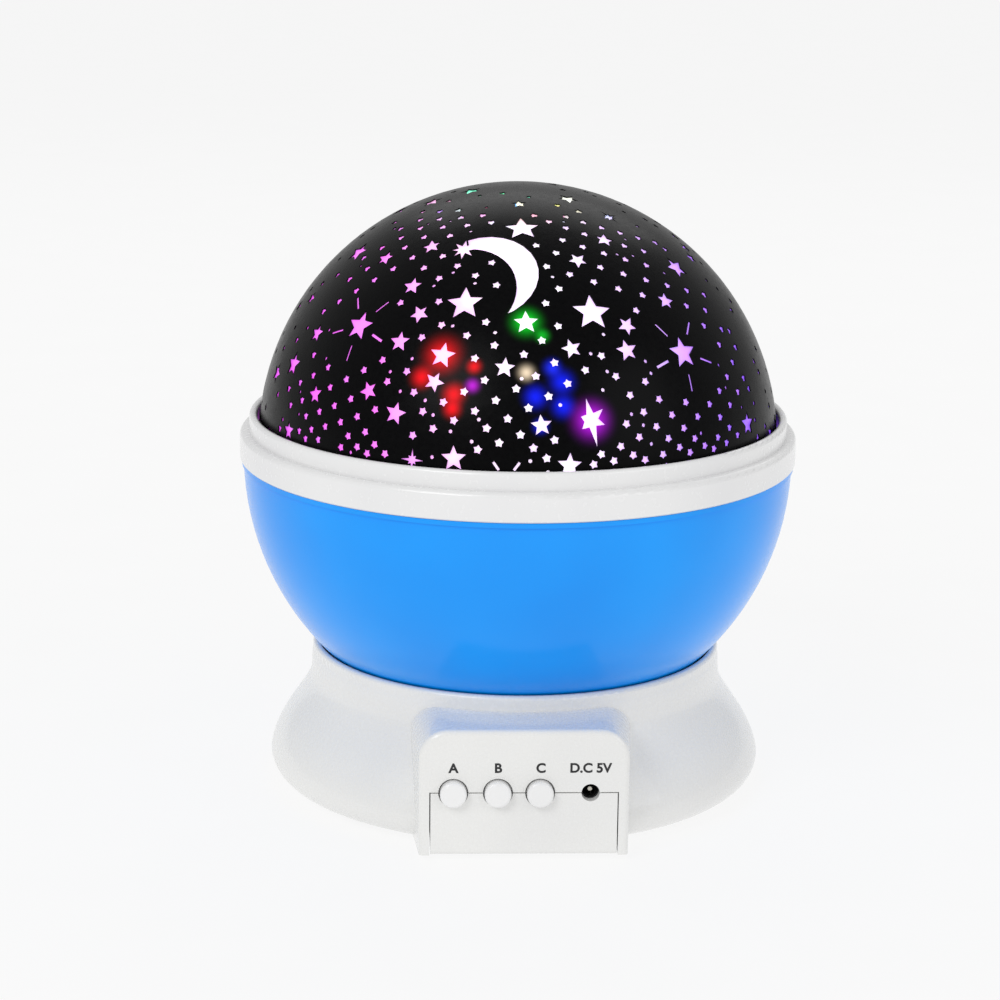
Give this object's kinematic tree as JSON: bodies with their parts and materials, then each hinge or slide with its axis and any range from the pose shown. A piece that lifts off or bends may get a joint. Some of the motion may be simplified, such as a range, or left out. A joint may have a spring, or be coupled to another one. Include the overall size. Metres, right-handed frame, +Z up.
{
  "type": "star night light projector",
  "caption": "Star projector night light: flared white base with control box, turning blue bowl, stepped white collar and black dome cut with stars and moons.",
  "frame": {"origin": "on the turning axis, level with the undersides of the four feet", "axes": "+Z up along the turning axis, the control box toward -Y, +X to the viewer's right when facing the control box"},
  "size_m": [0.13, 0.13, 0.142],
  "materials": {
    "white_abs": "glossy",
    "zinc_steel": "satin",
    "grey_rubber": "satin",
    "cell_jacket": "satin",
    "nickel_strip": "satin",
    "spring_steel": "satin",
    "lead_red": "satin",
    "circuit_board": "satin",
    "component_black": "satin",
    "switch_black": "satin",
    "jack_black": "satin",
    "nickel_pin": "satin",
    "white_button": "glossy",
    "motor_steel": "satin",
    "motor_cap_plastic": "satin",
    "lead_black": "satin",
    "black_abs": "satin",
    "axle_steel": "satin",
    "acetal": "satin",
    "white_matt_abs": "satin",
    "led_red_lens": "satin",
    "led_green_lens": "satin",
    "led_blue_lens": "satin",
    "led_warm_lens": "satin",
    "bush_brass": "satin",
    "blue_abs": "glossy",
    "milky_polypropylene": "satin",
    "black_skin": "glossy",
    "pinion_brass": "satin"
  },
  "bodies": {
    "base": {"base_shell": "white_abs", "base_cover": "white_abs", "base_screws": "zinc_steel", "foot_1": "grey_rubber", "foot_2": "grey_rubber", "foot_3": "grey_rubber", "foot_4": "grey_rubber", "battery_1": "cell_jacket", "battery_2": "cell_jacket", "battery_3": "cell_jacket", "battery_4": "cell_jacket", "battery_plates": "nickel_strip", "battery_springs": "spring_steel", "battery_leads": "lead_red", "control_board": "circuit_board", "board_parts": "component_black", "board_screws": "zinc_steel", "tact_switch_a": "switch_black", "tact_switch_b": "switch_black", "tact_switch_c": "switch_black", "dc_jack": "jack_black", "dc_jack_pin": "nickel_pin", "motor_case": "motor_steel", "motor_cap": "motor_cap_plastic", "motor_screws": "zinc_steel", "motor_leads": "lead_black", "gear_plate": "black_abs", "gear_plate_screws": "zinc_steel", "gear_axle_1": "axle_steel", "gear_axle_2": "axle_steel", "glide_ring": "acetal", "centre_post": "white_matt_abs", "post_screws": "zinc_steel", "retaining_clip": "spring_steel", "led_board": "circuit_board", "led_board_screws": "zinc_steel", "led_leads": "lead_red", "led_red": "led_red_lens", "led_green": "led_green_lens", "led_blue": "led_blue_lens", "led_warm": "led_warm_lens"},
    "rotor": {"turntable": "acetal", "turntable_screws": "zinc_steel", "hub_bush": "bush_brass", "bowl": "blue_abs", "collar": "white_abs", "star_dome": "milky_polypropylene", "star_mask": "black_skin"},
    "final_gear_body": {"final_gear": "acetal"},
    "middle_gear_body": {"middle_gear": "acetal"},
    "motor_rotor": {"motor_shaft": "axle_steel", "motor_pinion": "pinion_brass"},
    "button_a_body": {"button_a": "white_button"},
    "button_b_body": {"button_b": "white_button"},
    "button_c_body": {"button_c": "white_button"},
    "door_body": {"battery_door": "white_abs"}
  },
  "joints": [
    {"name": "turntable_spin", "type": "hinge", "parent": "base", "child": "rotor", "pos_m": [0, 0, 0.0282], "axis": [0, 0, 1], "continuous": true},
    {"name": "final_gear_spin", "type": "hinge", "parent": "base", "child": "final_gear_body", "pos_m": [0, 0.0336, 0.0235], "axis": [0, 0, 1], "continuous": true},
    {"name": "middle_gear_spin", "type": "hinge", "parent": "base", "child": "middle_gear_body", "pos_m": [-0.00911, 0.02363, 0.0195], "axis": [0, 0, 1], "continuous": true},
    {"name": "motor_spin", "type": "hinge", "parent": "base", "child": "motor_rotor", "pos_m": [-0.011, 0.037, 0.013], "axis": [0, 0, 1], "continuous": true},
    {"name": "button_a_press", "type": "slide", "parent": "base", "child": "button_a_body", "axis": [0, 1, 0], "range_m": [0, 0.0008], "stiffness_N_per_m": 200, "springref_m": -0.002},
    {"name": "button_b_press", "type": "slide", "parent": "base", "child": "button_b_body", "axis": [0, 1, 0], "range_m": [0, 0.0008], "stiffness_N_per_m": 200, "springref_m": -0.002},
    {"name": "button_c_press", "type": "slide", "parent": "base", "child": "button_c_body", "axis": [0, 1, 0], "range_m": [0, 0.0008], "stiffness_N_per_m": 200, "springref_m": -0.002},
    {"name": "battery_door_hinge", "type": "hinge", "parent": "base", "child": "door_body", "pos_m": [0.0244, 0, 0.003], "axis": [0, -1, 0], "range_deg": [0, 100]}
  ],
  "couplings": [
    {"joint": "final_gear_spin", "follows": "turntable_spin", "ratio": 9},
    {"joint": "middle_gear_spin", "follows": "turntable_spin", "ratio": -45},
    {"joint": "motor_spin", "follows": "turntable_spin", "ratio": 225}
  ]
}
